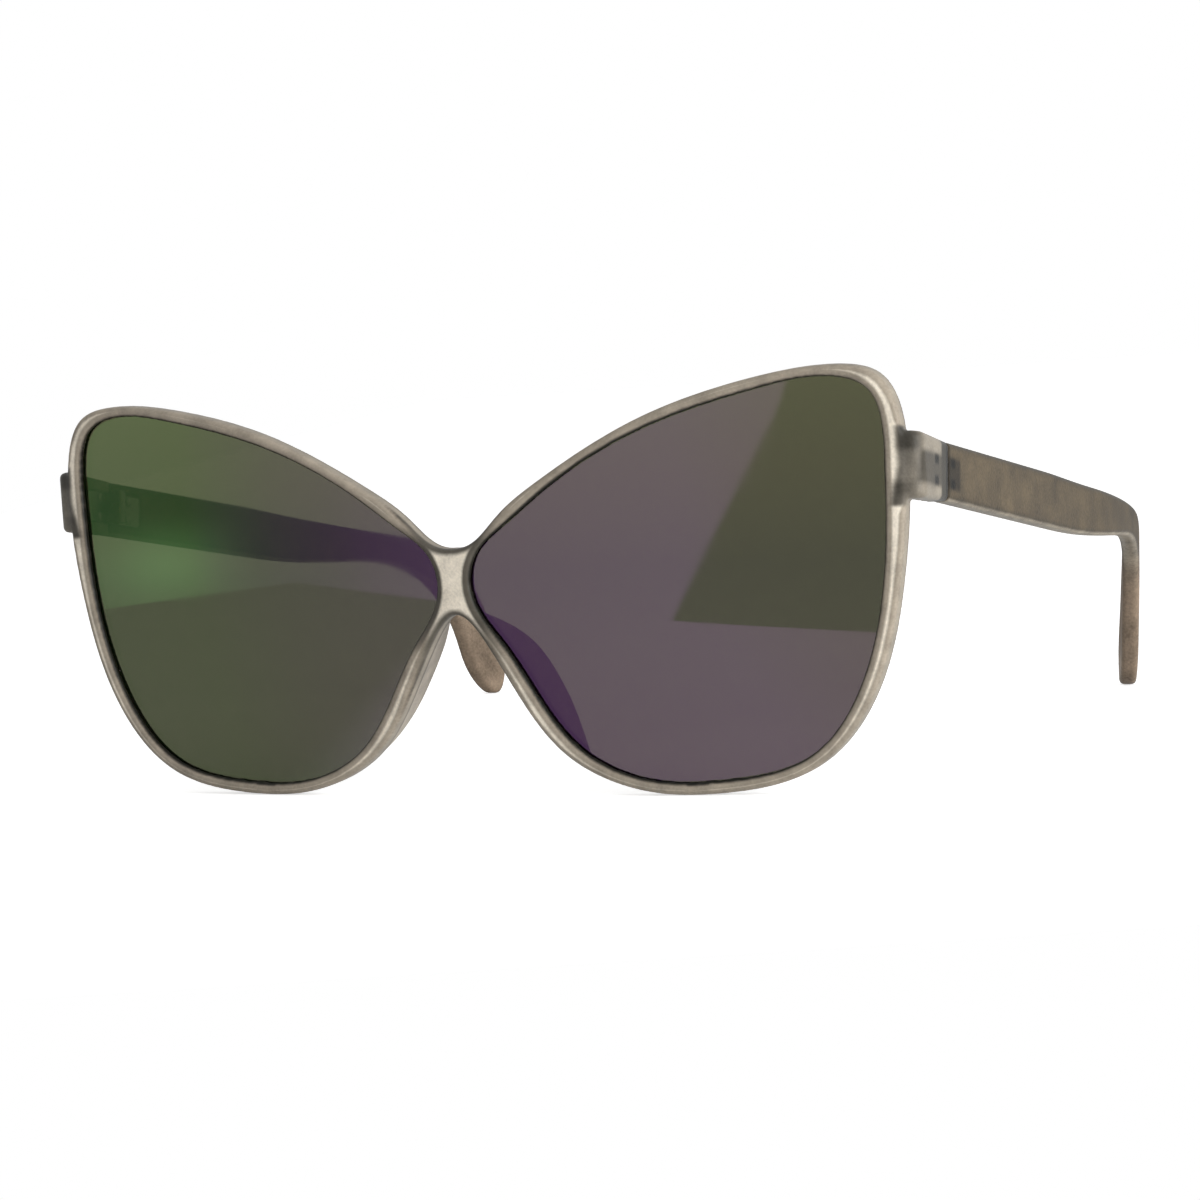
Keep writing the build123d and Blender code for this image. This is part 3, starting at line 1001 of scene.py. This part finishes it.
tint, tint_face = finish("mirror_tint")
tint_face.inputs["Transmission Weight"].default_value = 1.0
tint_face.inputs["IOR"].default_value = 1.8
work = Wiring(tint.node_tree)
lens_place = work.here()
height_share = work.maths("DIVIDE", work.parts(lens_place)["Z"], lens_top)
work.join(work.ramp(height_share, body_stops), tint_face.inputs["Base Color"])
view_angle = work.node("ShaderNodeLayerWeight")
view_angle.inputs["Blend"].default_value = 0.5
work.join(work.ramp(view_angle.outputs["Facing"], coat_stops), tint_face.inputs["Specular Tint"])
smudge = work.node("ShaderNodeTexNoise")
smudge.inputs["Scale"].default_value = 90.0
smudge.inputs["Detail"].default_value = 4.0
work.join(lens_place, smudge.inputs["Vector"])
smudged = work.rise(smudge.outputs["Fac"], *smudge_start, *smudge_roughness)
work.join(smudged, tint_face.inputs["Roughness"])
print("lens", len(work.tree.nodes), "nodes")

# %% [markdown]
# ## Hinge metal
# The leaves and screws are stamped and turned steel, dull from tumbling, with fine lines along
# the leaf. Their solids are right as they are, and only get this finish. The lines are a fine
# noise that is stretched along the leaf.

# %% Steel
steel_dark, steel_light = (0.20, 0.20, 0.18), (0.42, 0.41, 0.38)
line_contrast = (0.3, 0.7)
steel_roughness = (0.26, 0.46)
line_stretch = 0.06
line_depth = 0.00001

steel, steel_face = finish("hinge_steel")
work = Wiring(steel.node_tree)
stretched = work.node("ShaderNodeMapping")
stretched.inputs["Rotation"].default_value = (hinge_lean, 0, 0)
stretched.inputs["Scale"].default_value = (1.0, line_stretch, 1.0)
work.join(work.here(), stretched.inputs["Vector"])
lines = work.node("ShaderNodeTexNoise")
lines.inputs["Scale"].default_value = 9000.0
lines.inputs["Detail"].default_value = 2.0
work.join(stretched.outputs[0], lines.inputs["Vector"])
line = lines.outputs["Fac"]
work.join(work.mix(line, steel_dark, steel_light), steel_face.inputs["Base Color"])
work.join(work.rise(line, *line_contrast, *steel_roughness), steel_face.inputs["Roughness"])
steel_bump = work.node("ShaderNodeBump")
steel_bump.inputs["Distance"].default_value = line_depth
work.join(line, steel_bump.inputs["Height"])
work.join(steel_bump.outputs[0], steel_face.inputs["Normal"])
steel_face.inputs["Metallic"].default_value = 1.0

for name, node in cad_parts.items():
    chosen = tint if name.startswith("lens") else steel
    node.data.materials.clear()
    node.data.materials.append(chosen)
print("finishes", [m.name for m in bpy.data.materials])

# %% [markdown]
# Now the rivet tree is used, once for each leaf. The packed rivets say where each pair is and how
# long it is. The two rivets of a pair stand one above the other along the leaning hinge, with
# their heads inside and their shanks pointing outward into the plastic.

# %% Rivets in their places
rivet_head_radius = 0.0008
rivet_shank_radius = 0.00045
rivet_head_share = 0.125
hinge_axis = Vector((0, math.sin(hinge_lean), math.cos(hinge_lean)))

for leaf_kind in ("front", "temple"):
    for side, outward in (("left", 1.0), ("right", -1.0)):
        node_name = leaf_kind + "_hinge_rivets_" + side
        low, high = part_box(node_name)
        head_x = min(abs(low[0]), abs(high[0])) * outward
        length = abs(high[0] - low[0])
        middle = Vector((head_x, (low[1] + high[1]) / 2, (low[2] + high[2]) / 2))
        pair = bpy.data.objects.new(leaf_kind + "_rivets_" + side, bpy.data.meshes.new("rivets"))
        bpy.context.scene.collection.objects.link(pair)
        maker = pair.modifiers.new("rivets", "NODES")
        maker.node_group = rivets_tree
        values = {"First": middle - hinge_axis * rivet_spacing / 2, "Step": hinge_axis * rivet_spacing,
                  "Shank": Vector((length * outward, 0, 0)), "Head Radius": rivet_head_radius,
                  "Shank Radius": rivet_shank_radius, "Head Share": rivet_head_share, "Metal": steel}
        for item in rivets_tree.interface.items_tree:
            if item.in_out == "INPUT":
                maker[item.identifier] = values[item.name]
        settle(pair)
        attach(pair, "front" if leaf_kind == "front" else "temple_" + side)
        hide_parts(node_name)
        print(pair.name, len(pair.data.polygons), "faces",
              [round(c * mm_in_metre, 2) for c in pair.dimensions], "mm")

# %% [markdown]
# Last, the box round everything that is shown, the table left out, is found.

# %% Sizes
low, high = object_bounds()
